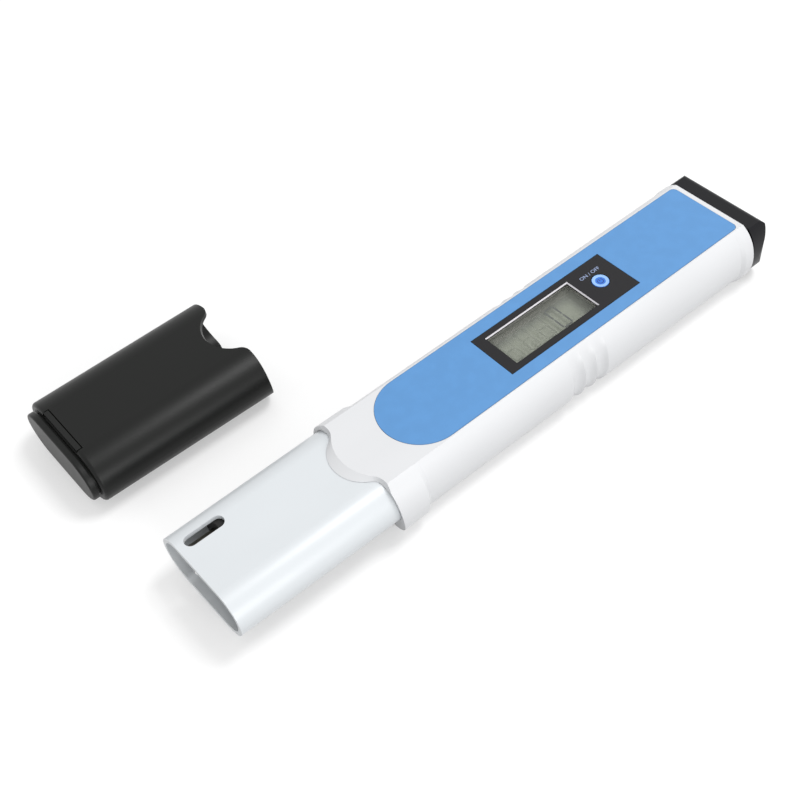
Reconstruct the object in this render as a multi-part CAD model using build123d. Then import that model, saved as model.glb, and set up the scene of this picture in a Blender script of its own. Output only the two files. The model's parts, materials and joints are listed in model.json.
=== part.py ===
from build123d import *
import os
from math import atan2, cos, radians, sin

# Pen-shaped conductivity tester lying on its flat back, with its probe cap beside it.
# X runs from the probe tip to the battery end, Y runs towards the loose cap, Z points up.
# The origin is on the flat back, on the tester's mid-plane. Millimetres.

# Stations along the tester, counted from the origin
collar_reach = 37.1
sleeve_reach = 41.4
collar_length = 5.6
housing_rear = 72.4
flange_length = 3.3
end_cap_length = 5.7

# Housing section
body_front_width = 27.4
body_rear_width = 29.2
collar_width = 30.0
flange_width = 30.2
face_width = 20.6
waist_height = 8.0
crown_sweep = 69.4
keel_run = 7.0
keel_trim = 0.4
step_ramp = 1.2
housing_wall = 1.7
face_wall = 1.7
crown_run_inside = 5.0
flange_round = 0.9

# Grip scoops on both sides
grip_start = 11.8
grip_pitch = 3.65
grip_count = 3
grip_depth = 0.8

# Wavy rim between the collar and the sleeve: a broad crest between two shoulders
rim_slant = -1.7
rim_depth = 5.3
rim_low_depth = 0.8
rim_side_drop = 1.1
rim_shoulder_width = 18.8
rim_crest_share = 0.74
ramp_run = 0.4
ramp_depth_loss = 2.0

# Probe sleeve and its slots
sleeve_root_width = 27.8
sleeve_tip_width = 27.0
sleeve_drop = 1.2
sleeve_height = 11.8
sleeve_run = 6.3
sleeve_wall = 1.1
socket_depth = 3.5
slot_length = 9.4
slot_width = 3.0
slot_setback = 1.8
slot_offset = 6.6

# Probe
block_setback = 9.4
block_length = 13.0
rod_diameter = 3.2
rod_setback = 1.5
rod_offset = 8.0
rod_shank = 16.0
tail_diameter = 1.0
sensor_diameter = 2.0
sensor_stick_out = 2.5
gasket_thickness = 0.8
bulkhead_thickness = 2.0
bulkhead_window_width = 21.0
bulkhead_window_height = 6.4

# Front label and display panel
label_width = 20.1
label_rear_gap = 1.8
label_front_reach = 30.4
label_corner = 1.4
label_thickness = 0.3
label_pocket = 0.25
bezel_end_margin = 6.0
bezel_side = 1.9
bezel_thickness = 0.55
bezel_pocket = 0.5
window_start = 3.2
window_length = 25.1
window_width = 9.6
window_bevel = 0.25
window_margin = 0.4
wall_at_display = 1.0

# Display
glass_end_border = 1.35
glass_side_border = 1.6
glass_thickness = 1.1
reflector_thickness = 0.3
frame_wall = 1.2
frame_drop = 0.9
zebra_width = 1.6
zebra_inset = 0.4

# Circuit board, which lies on two rails
board_setback = 2.8
board_rear_gap = 2.0
board_side_gap = 1.0
board_thickness = 1.0
board_drop = 1.7
rail_thickness = 1.2
rail_ledge = 1.3
rail_end_gap = 1.0
chip_width = 7.0
chip_height = 1.0
chip_station = 12.0
crystal_length = 8.0
crystal_diameter = 2.0
crystal_station = -14.0
crystal_offset = -5.0
trimmer_width = 6.6
trimmer_height = 4.8
trimmer_station = -8.0
trimmer_offset = 4.5
trimmer_screw_depth = 1.0
trimmer_screw = 2.4
trimmer_slot = 0.5
passive_length = 2.0
passive_width = 1.25
passive_height = 0.6
passive_count = 5
passive_pitch = 2.6
passive_setback = 6.0
clip_length = 5.0
clip_width = 3.0
clip_height = 1.6
clip_setback = 1.0
tail_stop = 1.0

# Power button
button_to_frame = 0.75
button_diameter = 4.1
button_skirt = 5.4
button_skirt_height = 0.8
button_stand = 0.1
button_travel = 0.5
button_gap = 0.15
switch_width = 5.2
switch_height = 3.6
stem_diameter = 3.0
stem_depth = 1.6

# Battery end
cell_diameter = 11.6
cell_height = 5.4
cell_button_diameter = 9.4
cell_button_height = 0.4
cell_count = 4
stack_gap = 0.15
tray_wall = 0.9
tray_radius_gap = 0.15
tray_floor = 0.45
tray_floor_gap = 0.3
tray_wing_gap = 1.4
tray_wing_thickness = 1.0
spring_length = 2.6
spring_wire = 0.5
spring_diameter = 8.0
spring_turns = 2.5
spring_cone = 40.0
contact_thickness = 0.3
contact_height = 7.0
contact_width = 6.0
blade_width = 2.0
blade_overlap = 2.0
spigot_length = 5.0
spigot_gap = 0.2
seal_setback = 1.4
seal_width = 1.8
seal_depth = 0.9
end_cap_inset = 0.45
end_cap_corner = 3.6
end_cap_round = 2.0

# Probe cap, drawn as worn and then laid beside the tester
cap_wall = 1.05
cap_side_wall = 2.1
cap_slip = 0.15
cap_length = 44.8
cap_end_round = 0.9
plug_depth = 4.0
foot_length = 1.4
foot_inset = 1.5
groove_width = 0.6
groove_inset = 2.4
foot_round = 0.5
tab_width = 14.8
tab_length = 1.7
tab_gap = 0.25
cap_distance = 50.6
cap_advance = 3.2

# Clearances
slide_gap = 0.15
fit_gap = 0.1
bond_gap = 0.05

# Places worked out from the sizes above
body_height = cell_diameter + 2 * (tray_radius_gap + tray_floor + tray_floor_gap + housing_wall)
cell_axis_height = body_height / 2
collar_front = -collar_reach
collar_rear = collar_front + collar_length
tip = collar_front - sleeve_reach
sleeve_top = body_height - sleeve_drop
sleeve_low = sleeve_top - sleeve_height
sleeve_waist = sleeve_low + sleeve_height / 2
socket_end = collar_front + socket_depth + gasket_thickness
sleeve_root = collar_front + socket_depth
cavity_start = socket_end + bulkhead_thickness
cavity_top = body_height - face_wall
crown_height = (body_height - waist_height) / sin(radians(crown_sweep))
label_rear = housing_rear - label_rear_gap
display_top = body_height - wall_at_display
rod_height = sleeve_waist
block_front = tip + block_setback
window_middle = window_start + window_length / 2
glass_length = window_length + 2 * glass_end_border
glass_width = window_width + 2 * glass_side_border
frame_end = window_middle + glass_length / 2 + frame_wall
button_station = frame_end + button_to_frame + button_skirt / 2
bezel_length = button_station + bezel_end_margin
bezel_width = window_width + 2 * bezel_side
rail_height = rod_height - board_drop
board_width = body_front_width - 2 * (housing_wall + board_side_gap)
rail_inner_width = board_width - 2 * rail_ledge
tray_wing_width = body_rear_width - 2 * (housing_wall + tray_wing_gap)
board_front = cavity_start + board_setback
board_top = rail_height + board_thickness
glass_low = display_top - 2 * glass_thickness
display_low = glass_low - reflector_thickness
stack_length = spring_length + cell_count * cell_height + stack_gap
tray_end = housing_rear - spigot_length
tray_front = tray_end - tray_wall - 2 * contact_thickness - stack_length
board_rear = tray_front - board_rear_gap
plan_reach = 60.0
rim_margin = 1.0
nudge = 0.01
overcut = 1.0


def body_half_width(x):
    """Half the body's width at station x, between the collar and the flange."""
    share = (x - collar_rear) / (housing_rear - flange_length - collar_rear)
    return (body_front_width + (body_rear_width - body_front_width) * share) / 2


def sleeve_half_width(x):
    """Half the sleeve's width at station x; it narrows towards the tip."""
    share = (x - tip) / (sleeve_root - tip)
    return (sleeve_tip_width + (sleeve_root_width - sleeve_tip_width) * share) / 2


def pebble(x, half_width, low, high, waist, upper_run, lower_run):
    """Section across the tester at station x: flat top and bottom, elliptical sides."""
    upper = half_width - upper_run
    lower = half_width - lower_run
    rise = high - waist
    fall = waist - low
    with BuildSketch(Plane.YZ.offset(x)) as section:
        with BuildLine():
            Line((-lower, low), (lower, low))
            EllipticalCenterArc((lower, waist), lower_run, fall, -90, arc_size=90)
            EllipticalCenterArc((upper, waist), upper_run, rise, 0, arc_size=90)
            Line((upper, high), (-upper, high))
            EllipticalCenterArc((-upper, waist), upper_run, rise, 90, arc_size=90)
            EllipticalCenterArc((-lower, waist), lower_run, fall, 180, arc_size=90)
        make_face()
    return section.sketch


def body_section(x, half_width):
    """Housing section before its back and face are cut flat."""
    crease_share = cos(radians(crown_sweep))
    centre = (face_width / 2 - crease_share * half_width) / (1 - crease_share)
    return pebble(
        x,
        half_width,
        -keel_trim,
        waist_height + crown_height,
        waist_height,
        half_width - centre,
        keel_run,
    )


def cavity_section(x, half_width, gap=0.0):
    """Section of the room inside the housing, or of a piece that fits it with a gap."""
    return pebble(
        x,
        half_width - housing_wall - gap,
        housing_wall + gap,
        cavity_top - gap,
        waist_height,
        crown_run_inside,
        keel_run - gap,
    )


def sleeve_section(x, grow, widen=0.0):
    """Sleeve section at station x, grown all round, and widened more at its sides."""
    return pebble(
        x,
        sleeve_half_width(x) + grow + widen,
        sleeve_low - grow,
        sleeve_top + grow,
        sleeve_waist,
        sleeve_run + grow + widen,
        sleeve_run + grow + widen,
    )


def sleeve_loft(start, end, grow, widen=0.0):
    """Solid that follows the sleeve's taper between two stations."""
    sections = [sleeve_section(x, grow, widen) for x in (start, end)]
    return loft(sections, ruled=True)


def body_loft(start, end, start_half, end_half):
    """Solid of the housing's outer form between two stations."""
    return loft([body_section(start, start_half), body_section(end, end_half)], ruled=True)


def box(x_range, y_range, z_range):
    """Box between the given limits."""
    length = x_range[1] - x_range[0]
    width = y_range[1] - y_range[0]
    height = z_range[1] - z_range[0]
    solid = Box(length, width, height, align=Align.MIN)
    return Pos(x_range[0], y_range[0], z_range[0]) * solid


def rod(start, end, y, z, diameter):
    """Round bar along X."""
    bar = Cylinder(diameter / 2, end - start, align=(Align.CENTER, Align.CENTER, Align.MIN))
    return Pos(start, y, z) * (Rot(0, 90, 0) * bar)


def post(x, y, low, high, diameter):
    """Round bar along Z."""
    bar = Cylinder(diameter / 2, high - low, align=(Align.CENTER, Align.CENTER, Align.MIN))
    return Pos(x, y, low) * bar


def rim_line(height):
    """Shoulder station and crest depth of the wavy rim at a height above the back."""
    share = height / sleeve_top
    return collar_front + rim_slant * share, rim_low_depth + (rim_depth - rim_low_depth) * share


def ramp_line(height):
    """The same two values where the rim slopes back from the sleeve to the face."""
    share = (height - sleeve_top) / sleeve_drop
    shoulder, depth = rim_line(sleeve_top)
    return shoulder + ramp_run * share, depth - ramp_depth_loss * share


def rim_plan(height, line, shift=0.0):
    """Plan outline of the space in front of the rim, at one height."""
    shoulder = line[0] + shift
    depth = line[1]
    near = rim_shoulder_width / 2
    far = collar_width / 2 + cap_side_wall
    turn = 2 * atan2(depth, near)
    span = near / sin(turn)
    bend = Vector(shoulder - depth + span * rim_crest_share * (1 - cos(turn)), near * rim_crest_share)
    side = shoulder - rim_side_drop
    front = collar_front - plan_reach
    with BuildSketch(Plane.XY.offset(height)) as plan:
        with BuildLine():
            ThreePointArc((bend.X, -bend.Y), (shoulder - depth, 0), (bend.X, bend.Y))
            TangentArc((shoulder, near), (bend.X, bend.Y), tangent=(0, -1))
            TangentArc((shoulder, -near), (bend.X, -bend.Y), tangent=(0, 1))
            TangentArc((shoulder, near), (side, far), tangent=(0, 1))
            TangentArc((shoulder, -near), (side, -far), tangent=(0, -1))
            Polyline((side, far), (front, far), (front, -far), (side, -far))
        make_face()
    return plan.sketch


def space_before_rim(shift=0.0):
    """Everything in front of the rim: what the collar leaves free and the cap fills."""
    low = -rim_margin
    high = body_height + rim_margin
    sections = [rim_plan(low, rim_line(low), shift), rim_plan(high, rim_line(high), shift)]
    return loft(sections, ruled=True)


def ramp_space():
    """Extra cut that slopes the rim's top edge back to the face."""
    high = body_height + rim_margin
    sections = [rim_plan(sleeve_top, ramp_line(sleeve_top)), rim_plan(high, ramp_line(high))]
    return loft(sections, ruled=True)


def grip_scoops():
    """Body length with the scalloped sides, one waisted loft for each scoop."""
    scoops = []
    for index in range(grip_count):
        start = grip_start + index * grip_pitch
        middle = start + grip_pitch / 2
        end = start + grip_pitch
        waisted = [
            body_section(start, body_half_width(start)),
            body_section(middle, body_half_width(middle) - grip_depth),
            body_section(end, body_half_width(end)),
        ]
        scoops.append(loft(waisted))
    return scoops


def housing_form():
    """Outer form of the housing, from the collar to the rear flange."""
    grip_end = grip_start + grip_count * grip_pitch
    flange_start = housing_rear - flange_length
    collar_start = collar_front + rim_slant - rim_depth - rim_margin
    collar_half = collar_width / 2
    flange_half = flange_width / 2
    after_collar = collar_rear + step_ramp
    before_flange = flange_start - step_ramp
    form = body_loft(collar_start, collar_rear, collar_half, collar_half)
    form += body_loft(collar_rear, after_collar, collar_half, body_half_width(after_collar))
    front_halves = (body_half_width(after_collar), body_half_width(grip_start))
    rear_halves = (body_half_width(grip_end), body_half_width(before_flange))
    form += body_loft(after_collar, grip_start, *front_halves)
    for scoop in grip_scoops():
        form += scoop
    form += body_loft(grip_end, before_flange, *rear_halves)
    form += body_loft(before_flange, flange_start, body_half_width(before_flange), flange_half)
    form += body_loft(flange_start, housing_rear, flange_half, flange_half)
    slab = box((collar_start, housing_rear), (-collar_width, collar_width), (0, body_height))
    form = form & slab
    rim = form.edges().filter_by_position(Axis.X, housing_rear - nudge, housing_rear + nudge)
    return fillet(rim, flange_round)


def rounded_slot(x_range, y, z_range, width):
    """Round-ended cut along X, straight through in Z."""
    start = x_range[0] + width / 2
    end = x_range[1] - width / 2
    cut = box((start, end), (y - width / 2, y + width / 2), z_range)
    cut += post(start, y, z_range[0], z_range[1], width)
    cut += post(end, y, z_range[0], z_range[1], width)
    return cut


def label_outline(height, shrink=0.0):
    """Plan of the front label: round at the probe end, small corners at the rear."""
    half = label_width / 2 - shrink
    nose_centre = label_width / 2 - label_front_reach
    rear = label_rear - shrink
    corner = label_corner
    with BuildSketch(Plane.XY.offset(height)) as plan:
        with BuildLine():
            CenterArc((nose_centre, 0), half, 90, 180)
            Line((nose_centre, -half), (rear - corner, -half))
            CenterArc((rear - corner, corner - half), corner, -90, 90)
            Line((rear, corner - half), (rear, half - corner))
            CenterArc((rear - corner, half - corner), corner, 0, 90)
            Line((rear - corner, half), (nose_centre, half))
        make_face()
    return plan.sketch


def make_housing():
    """One-piece moulded housing: collar, grip scoops, flange, rails and openings."""
    housing = housing_form()
    cavity = loft(
        [
            cavity_section(cavity_start, body_half_width(cavity_start)),
            cavity_section(housing_rear, body_half_width(housing_rear)),
        ],
        ruled=True,
    )
    rails = Part()
    for side in (-1, 1):
        inner = side * rail_inner_width / 2
        outer = side * (body_rear_width / 2 - housing_wall / 2)
        rail = box(
            (cavity_start, tray_end - rail_end_gap),
            (min(inner, outer), max(inner, outer)),
            (rail_height - rail_thickness, rail_height),
        )
        rails += rail
    housing -= cavity - rails
    housing -= space_before_rim()
    housing -= ramp_space()
    housing -= sleeve_loft(tip, socket_end, fit_gap)
    half = bulkhead_window_width / 2
    low = rod_height - bulkhead_window_height / 2
    window_z = (low, low + bulkhead_window_height)
    housing -= box((socket_end - overcut, cavity_start + overcut), (-half, half), window_z)
    housing -= extrude(label_outline(body_height - label_pocket), label_pocket + overcut)
    bezel_half = bezel_width / 2
    pocket_z = (body_height - bezel_pocket, body_height + overcut)
    housing -= box((0, bezel_length), (-bezel_half, bezel_half), pocket_z)
    return housing - display_cuts()


def display_cuts():
    """Openings in the face for the display window and the button."""
    frame_half = glass_width / 2 + frame_wall + fit_gap
    frame_start = window_middle - glass_length / 2 - frame_wall - fit_gap
    frame_x = (frame_start, frame_end + fit_gap)
    cuts = box(frame_x, (-frame_half, frame_half), (cavity_top - overcut, display_top))
    half = window_width / 2 + window_margin
    window_end = window_start + window_length
    window_x = (window_start - window_margin, window_end + window_margin)
    cuts += box(window_x, (-half, half), (cavity_top, body_height))
    cuts += post(button_station, 0, cavity_top - overcut, body_height, button_diameter + 2 * button_gap)
    return cuts


def make_sleeve():
    """Thin open-ended guard round the electrodes, with a flow slot in each broad face."""
    sleeve = sleeve_loft(tip, sleeve_root, 0)
    inner = sleeve_loft(tip - overcut, sleeve_root + overcut, -sleeve_wall)
    slot_range = (tip + slot_setback, tip + slot_setback + slot_length)
    slot = rounded_slot(slot_range, slot_offset, (sleeve_low - overcut, sleeve_top + overcut), slot_width)
    return sleeve - inner - slot


def make_block():
    """Moulded block that closes the sleeve and holds the electrodes and the sensor."""
    block = sleeve_loft(block_front, block_front + block_length, -sleeve_wall - bond_gap)
    start = block_front - overcut
    end = block_front + block_length + overcut
    for side in (-1, 1):
        block -= rod(start, end, side * rod_offset, rod_height, rod_diameter + 2 * bond_gap)
    return block - rod(start, end, 0, rod_height, sensor_diameter + 2 * bond_gap)


def make_rods():
    """Two electrode rods with the thin tails that reach the board's clips."""
    start = tip + rod_setback
    shank_end = start + rod_shank
    rods = []
    for side in (-1, 1):
        electrode = rod(start, shank_end, side * rod_offset, rod_height, rod_diameter)
        tail_end = clip_start() + clip_length - tail_stop
        electrode += rod(shank_end, tail_end, side * rod_offset, rod_height, tail_diameter)
        rods.append(electrode.solid())
    return Compound(rods)


def make_sensor():
    """Temperature sensor: a dome-ended pin between the electrodes, with its lead."""
    start = block_front - sensor_stick_out + sensor_diameter / 2
    shank_end = block_front + block_length
    pin = rod(start, shank_end, 0, rod_height, sensor_diameter)
    pin += Pos(start, 0, rod_height) * Sphere(sensor_diameter / 2)
    tail_end = clip_start() + clip_length - tail_stop
    return pin + rod(shank_end, tail_end, 0, rod_height, tail_diameter)


def clip_start():
    """Station where the board's contact clips begin."""
    return board_front + clip_setback


def make_clips():
    """Contact clips on the board that grip the three thin tails."""
    clips = []
    high = board_top + clip_height
    for y in (-rod_offset, 0, rod_offset):
        clip = box(
            (clip_start(), clip_start() + clip_length),
            (y - clip_width / 2, y + clip_width / 2),
            (board_top, high),
        )
        groove = tail_diameter / 2 + bond_gap
        groove_x = (clip_start() - overcut, clip_start() + clip_length + overcut)
        clip -= box(groove_x, (y - groove, y + groove), (rod_height - groove, high + overcut))
        clips.append(clip.solid())
    return Compound(clips)


def make_gasket():
    """Flat gasket between the sleeve's root and the bulkhead."""
    start = sleeve_root
    ring = extrude(sleeve_section(start, 0), gasket_thickness)
    return ring - extrude(sleeve_section(start, -sleeve_wall - gasket_thickness), gasket_thickness)


def make_label():
    """Printed front label with a cut-out for the display panel."""
    low = body_height - label_pocket
    label = extrude(label_outline(low, fit_gap), label_thickness)
    half = bezel_width / 2
    return label - box((0, bezel_length), (-half, half), (low - overcut, body_height + overcut))


def make_bezel():
    """Dark display panel with a bevelled window and the button's hole."""
    low = body_height - bezel_pocket
    high = low + bezel_thickness
    half = bezel_width / 2 - fit_gap
    panel = box((fit_gap, bezel_length - fit_gap), (-half, half), (low, high))
    window_half = window_width / 2
    window_end = window_start + window_length
    panel -= box((window_start, window_end), (-window_half, window_half), (low - overcut, high + overcut))
    rim = panel.edges().filter_by_position(Axis.Z, high - nudge, high + nudge)
    rim = rim.filter_by_position(Axis.X, window_start - nudge, window_end + nudge)
    rim = rim.filter_by_position(Axis.Y, -window_half - nudge, window_half + nudge)
    panel = chamfer(rim, window_bevel)
    hole_diameter = button_diameter + 2 * button_gap
    return panel - post(button_station, 0, low - overcut, high + overcut, hole_diameter)


def glass_pane(low):
    """One glass of the display."""
    half = glass_width / 2
    start = window_middle - glass_length / 2
    return box((start, start + glass_length), (-half, half), (low, low + glass_thickness))


def make_reflector():
    """Reflective film under the display glass, between the contact strips."""
    half = glass_width / 2 - zebra_inset - zebra_width - fit_gap
    start = window_middle - glass_length / 2
    return box((start, start + glass_length), (-half, half), (display_low, glass_low))


def make_display_frame():
    """Open frame that stands on the board and holds the display and its strips."""
    high = display_top - frame_drop
    outer_half = glass_width / 2 + frame_wall
    inner_half = glass_width / 2 + bond_gap
    start = window_middle - glass_length / 2
    end = start + glass_length
    outer_x = (start - frame_wall, end + frame_wall)
    inner_x = (start - bond_gap, end + bond_gap)
    frame = box(outer_x, (-outer_half, outer_half), (board_top, high))
    return frame - box(inner_x, (-inner_half, inner_half), (board_top - overcut, high + overcut))


def make_zebra_strips():
    """Two elastomer strips that join the display glass to the board."""
    start = window_middle - glass_length / 2
    strip_x = (start, start + glass_length)
    outer = glass_width / 2 - zebra_inset
    strips = []
    for low_edge in (-outer, outer - zebra_width):
        strip = box(strip_x, (low_edge, low_edge + zebra_width), (board_top, glass_low))
        strips.append(strip.solid())
    return Compound(strips)


def make_board():
    """Circuit board that slides in on the housing's rails."""
    half = board_width / 2
    return box((board_front, board_rear), (-half, half), (rail_height, board_top))


def make_chip():
    """Controller chip under the board."""
    half = chip_width / 2
    return box(
        (chip_station - half, chip_station + half),
        (-half, half),
        (rail_height - chip_height, rail_height),
    )


def make_crystal():
    """Round crystal can lying on the board."""
    start = crystal_station - crystal_length / 2
    height = board_top + crystal_diameter / 2
    return rod(start, start + crystal_length, crystal_offset, height, crystal_diameter)


def make_trimmer():
    """Calibration trimmer with a slotted screw in its top."""
    half = trimmer_width / 2
    high = board_top + trimmer_height
    body = box(
        (trimmer_station - half, trimmer_station + half),
        (trimmer_offset - half, trimmer_offset + half),
        (board_top, high),
    )
    floor = high - trimmer_screw_depth
    well_diameter = trimmer_screw + 2 * bond_gap
    return body - post(trimmer_station, trimmer_offset, floor, high + overcut, well_diameter)


def make_trimmer_screw():
    """Slotted screw of the trimmer."""
    low = board_top + trimmer_height - trimmer_screw_depth
    high = board_top + trimmer_height
    half = trimmer_slot / 2
    screw = post(trimmer_station, trimmer_offset, low, high, trimmer_screw)
    slot_x = (trimmer_station - trimmer_screw, trimmer_station + trimmer_screw)
    slot_y = (trimmer_offset - half, trimmer_offset + half)
    return screw - box(slot_x, slot_y, (high - trimmer_slot, high + overcut))


def make_passives():
    """Row of small parts under the board."""
    parts = []
    for index in range(passive_count):
        start = board_front + passive_setback + index * passive_pitch
        part = box(
            (start, start + passive_width),
            (-passive_length / 2, passive_length / 2),
            (rail_height - passive_height, rail_height),
        )
        parts.append(part.solid())
    return Compound(parts)


def button_foot():
    """Height of the button's underside, where it stands on the switch stem."""
    return cavity_top - button_gap - button_skirt_height


def make_button():
    """Round key with a skirt that keeps it behind the face."""
    foot = button_foot()
    key = post(button_station, 0, foot, body_height + button_stand, button_diameter)
    top = key.edges().sort_by(Axis.Z)[-1]
    key = fillet(top, button_stand)
    return key + post(button_station, 0, foot, foot + button_skirt_height, button_skirt)


def switch_top():
    """Height of the switch body's top face."""
    return board_top + switch_height


def make_stem():
    """Switch stem that the key presses down."""
    low = switch_top() - stem_depth + button_travel
    return post(button_station, 0, low, button_foot(), stem_diameter)


def make_switch():
    """Tact switch body on the board, with the well that its stem runs in."""
    half = switch_width / 2
    high = switch_top()
    body = box((button_station - half, button_station + half), (-half, half), (board_top, high))
    well_diameter = stem_diameter + 2 * button_gap
    return body - post(button_station, 0, high - stem_depth, high + overcut, well_diameter)


def cells_start():
    """Station of the first button cell's front face."""
    return tray_front + tray_wall + contact_thickness + spring_length


def make_tray():
    """Trough for the button cells, with wings that run on the housing's rails."""
    radius = cell_diameter / 2 + tray_radius_gap
    outer = radius + tray_wall
    low = cell_axis_height - radius - tray_floor
    wing_low = rail_height + slide_gap
    wing_high = wing_low + tray_wing_thickness
    start = tray_front
    end = tray_end
    tray = rod(start, end, 0, cell_axis_height, 2 * outer)
    tray += box((start, end), (-outer, outer), (cell_axis_height, wing_high))
    tray &= box((start, end), (-outer, outer), (low, wing_high))
    tray += box((start, end), (-tray_wing_width / 2, tray_wing_width / 2), (wing_low, wing_high))
    hollow_x = (start + tray_wall, end + overcut)
    hollow = rod(*hollow_x, 0, cell_axis_height, 2 * radius)
    hollow += box(hollow_x, (-radius, radius), (cell_axis_height, wing_high + overcut))
    return tray - hollow


def make_cells():
    """Stack of button cells, each with its raised negative button."""
    cells = []
    for index in range(cell_count):
        start = cells_start() + index * cell_height
        shoulder = start + cell_button_height
        can = rod(shoulder, start + cell_height, 0, cell_axis_height, cell_diameter)
        can += rod(start, shoulder, 0, cell_axis_height, cell_button_diameter)
        cells.append(can.solid())
    return Compound(cells)


def contact_plate(start):
    """Upright contact plate across the trough."""
    half = contact_width / 2
    low = cell_axis_height - contact_height / 2
    return box((start, start + contact_thickness), (-half, half), (low, low + contact_height))


def make_tray_contacts():
    """Contact plates at both ends of the cell stack."""
    plates = [contact_plate(tray_front + tray_wall), contact_plate(tray_end - contact_thickness)]
    return Compound([plate.solid() for plate in plates])


def make_contact_spring():
    """Conical coil spring that presses the cells against the rear contact."""
    radius = spring_wire / 2
    start = tray_front + tray_wall + contact_thickness + radius + bond_gap
    height = spring_length - spring_wire - 2 * bond_gap
    path = Helix(
        pitch=height / spring_turns,
        height=height,
        radius=spring_diameter / 2,
        center=(start, 0, cell_axis_height),
        direction=(1, 0, 0),
        cone_angle=-spring_cone,
    )
    section = Plane(origin=path @ 0, z_dir=path % 0) * Circle(radius)
    return sweep(section, path)


def make_board_contacts():
    """Two contact blades at the board's rear edge that meet the tray."""
    blades = []
    gap_end = tray_front - slide_gap
    for side in (-1, 1):
        y = side * contact_width
        blade_y = (y - blade_width / 2, y + blade_width / 2)
        blade_z = (board_top, board_top + contact_thickness)
        blade = box((board_rear - blade_overlap, gap_end), blade_y, blade_z)
        blades.append(blade.solid())
    return Compound(blades)


def rounded_end(x_range, span, corner):
    """Outline from one station to another, with round corners at its rear."""
    start, end = x_range
    low, high = span
    turn = end - corner
    with BuildSketch() as outline:
        with BuildLine():
            Polyline((turn, low), (start, low), (start, high), (turn, high))
            CenterArc((turn, high - corner), corner, 0, 90)
            Line((end, high - corner), (end, low + corner))
            CenterArc((turn, low + corner), corner, -90, 90)
        make_face()
    return outline.sketch


def make_end_cap():
    """Black battery cap with its spigot and seal groove."""
    half = flange_width / 2 - end_cap_inset
    start = housing_rear + slide_gap
    end = housing_rear + end_cap_length
    plan = rounded_end((start, end), (-half, half), end_cap_corner)
    side = rounded_end((start, end), (end_cap_inset, body_height - 2 * end_cap_inset), end_cap_round)
    form = body_loft(start, end, half, half) & extrude(plan, body_height)
    form &= Pos(0, half, 0) * (Rot(90, 0, 0) * extrude(side, 2 * half))
    spigot = spigot_form(housing_rear - spigot_length, start + end_cap_round, spigot_gap)
    seal_start = seal_station()
    ring = spigot_form(seal_start, seal_start + seal_width, spigot_gap)
    ring -= spigot_form(seal_start, seal_start + seal_width, seal_depth)
    return form + (spigot - ring)


def seal_station():
    """Station of the seal groove's front wall."""
    return housing_rear - seal_setback - seal_width


def spigot_form(start, end, gap):
    """Length of the cavity's own form, smaller all round by a gap."""
    sections = [cavity_section(x, body_half_width(x), gap) for x in (start, end)]
    return loft(sections, ruled=True)


def make_cap_seal():
    """Rubber seal in the end cap's groove."""
    start = seal_station() + bond_gap
    end = seal_station() + seal_width - bond_gap
    return spigot_form(start, end, bond_gap) - spigot_form(start, end, seal_depth)


def cap_end():
    """Station of the probe cap's closed end, as worn."""
    return collar_front + rim_slant - cap_length


def make_cap_shell():
    """Tapered probe cap with the wavy mouth and a window for the plug's tab."""
    grow = cap_slip + cap_wall
    start = cap_end()
    end = collar_front + rim_margin
    shell = sleeve_loft(start, end, grow, cap_side_wall - cap_wall)
    rim = shell.edges().filter_by_position(Axis.X, start - nudge, start + nudge)
    shell = fillet(rim, cap_end_round)
    shell -= sleeve_loft(start - overcut, end + overcut, cap_slip)
    shell &= space_before_rim(-cap_slip)
    half = tab_width / 2
    window_x = (start - overcut, start + tab_length)
    window_z = (sleeve_waist, sleeve_top + grow + overcut)
    return shell - box(window_x, (-half, half), window_z)


def make_cap_plug():
    """Plug that closes the cap: body, tab in the window, groove and oval foot."""
    start = cap_end()
    grow = cap_slip + cap_wall
    widen = cap_side_wall - cap_wall
    plug = sleeve_loft(start, start + plug_depth, cap_slip - bond_gap)
    half = tab_width / 2 - tab_gap
    tab_range = (start + tab_gap, start + tab_length - tab_gap)
    plug += box(tab_range, (-half, half), (sleeve_waist, sleeve_top + grow))
    neck = sleeve_loft(start - groove_width, start, grow - groove_inset, widen)
    foot_end = start - groove_width - foot_length
    foot = sleeve_loft(foot_end, start - groove_width, grow - foot_inset, widen)
    rim = foot.edges().filter_by_position(Axis.X, foot_end - nudge, foot_end + nudge)
    return plug + neck + fillet(rim, foot_round)


def laid_beside(piece):
    """Move a piece of the cap from its worn place to where it lies beside the tester."""
    drop = sleeve_low - cap_slip - cap_wall
    return Pos(cap_advance, cap_distance, -drop) * piece


nodes = {
    "housing": make_housing,
    "probe_sleeve": make_sleeve,
    "electrode_block": make_block,
    "electrode_rods": make_rods,
    "temperature_sensor": make_sensor,
    "sleeve_gasket": make_gasket,
    "front_label": make_label,
    "display_panel": make_bezel,
    "display_front_glass": lambda: glass_pane(glass_low + glass_thickness),
    "display_rear_glass": lambda: glass_pane(glass_low),
    "display_reflector": make_reflector,
    "display_frame": make_display_frame,
    "zebra_strips": make_zebra_strips,
    "circuit_board": make_board,
    "controller_chip": make_chip,
    "crystal_can": make_crystal,
    "calibration_trimmer": make_trimmer,
    "trimmer_screw": make_trimmer_screw,
    "small_components": make_passives,
    "probe_clips": make_clips,
    "power_switch": make_switch,
    "switch_stem": make_stem,
    "power_button": make_button,
    "board_contacts": make_board_contacts,
    "battery_cap": make_end_cap,
    "battery_cap_seal": make_cap_seal,
    "battery_tray": make_tray,
    "button_cells": make_cells,
    "tray_contacts": make_tray_contacts,
    "contact_spring": make_contact_spring,
    "probe_cap": lambda: laid_beside(make_cap_shell()),
    "probe_cap_plug": lambda: laid_beside(make_cap_plug()),
}

os.makedirs("parts", exist_ok=True)
for name, make in nodes.items():
    export_step(make(), f"parts/{name}.step")
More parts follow.
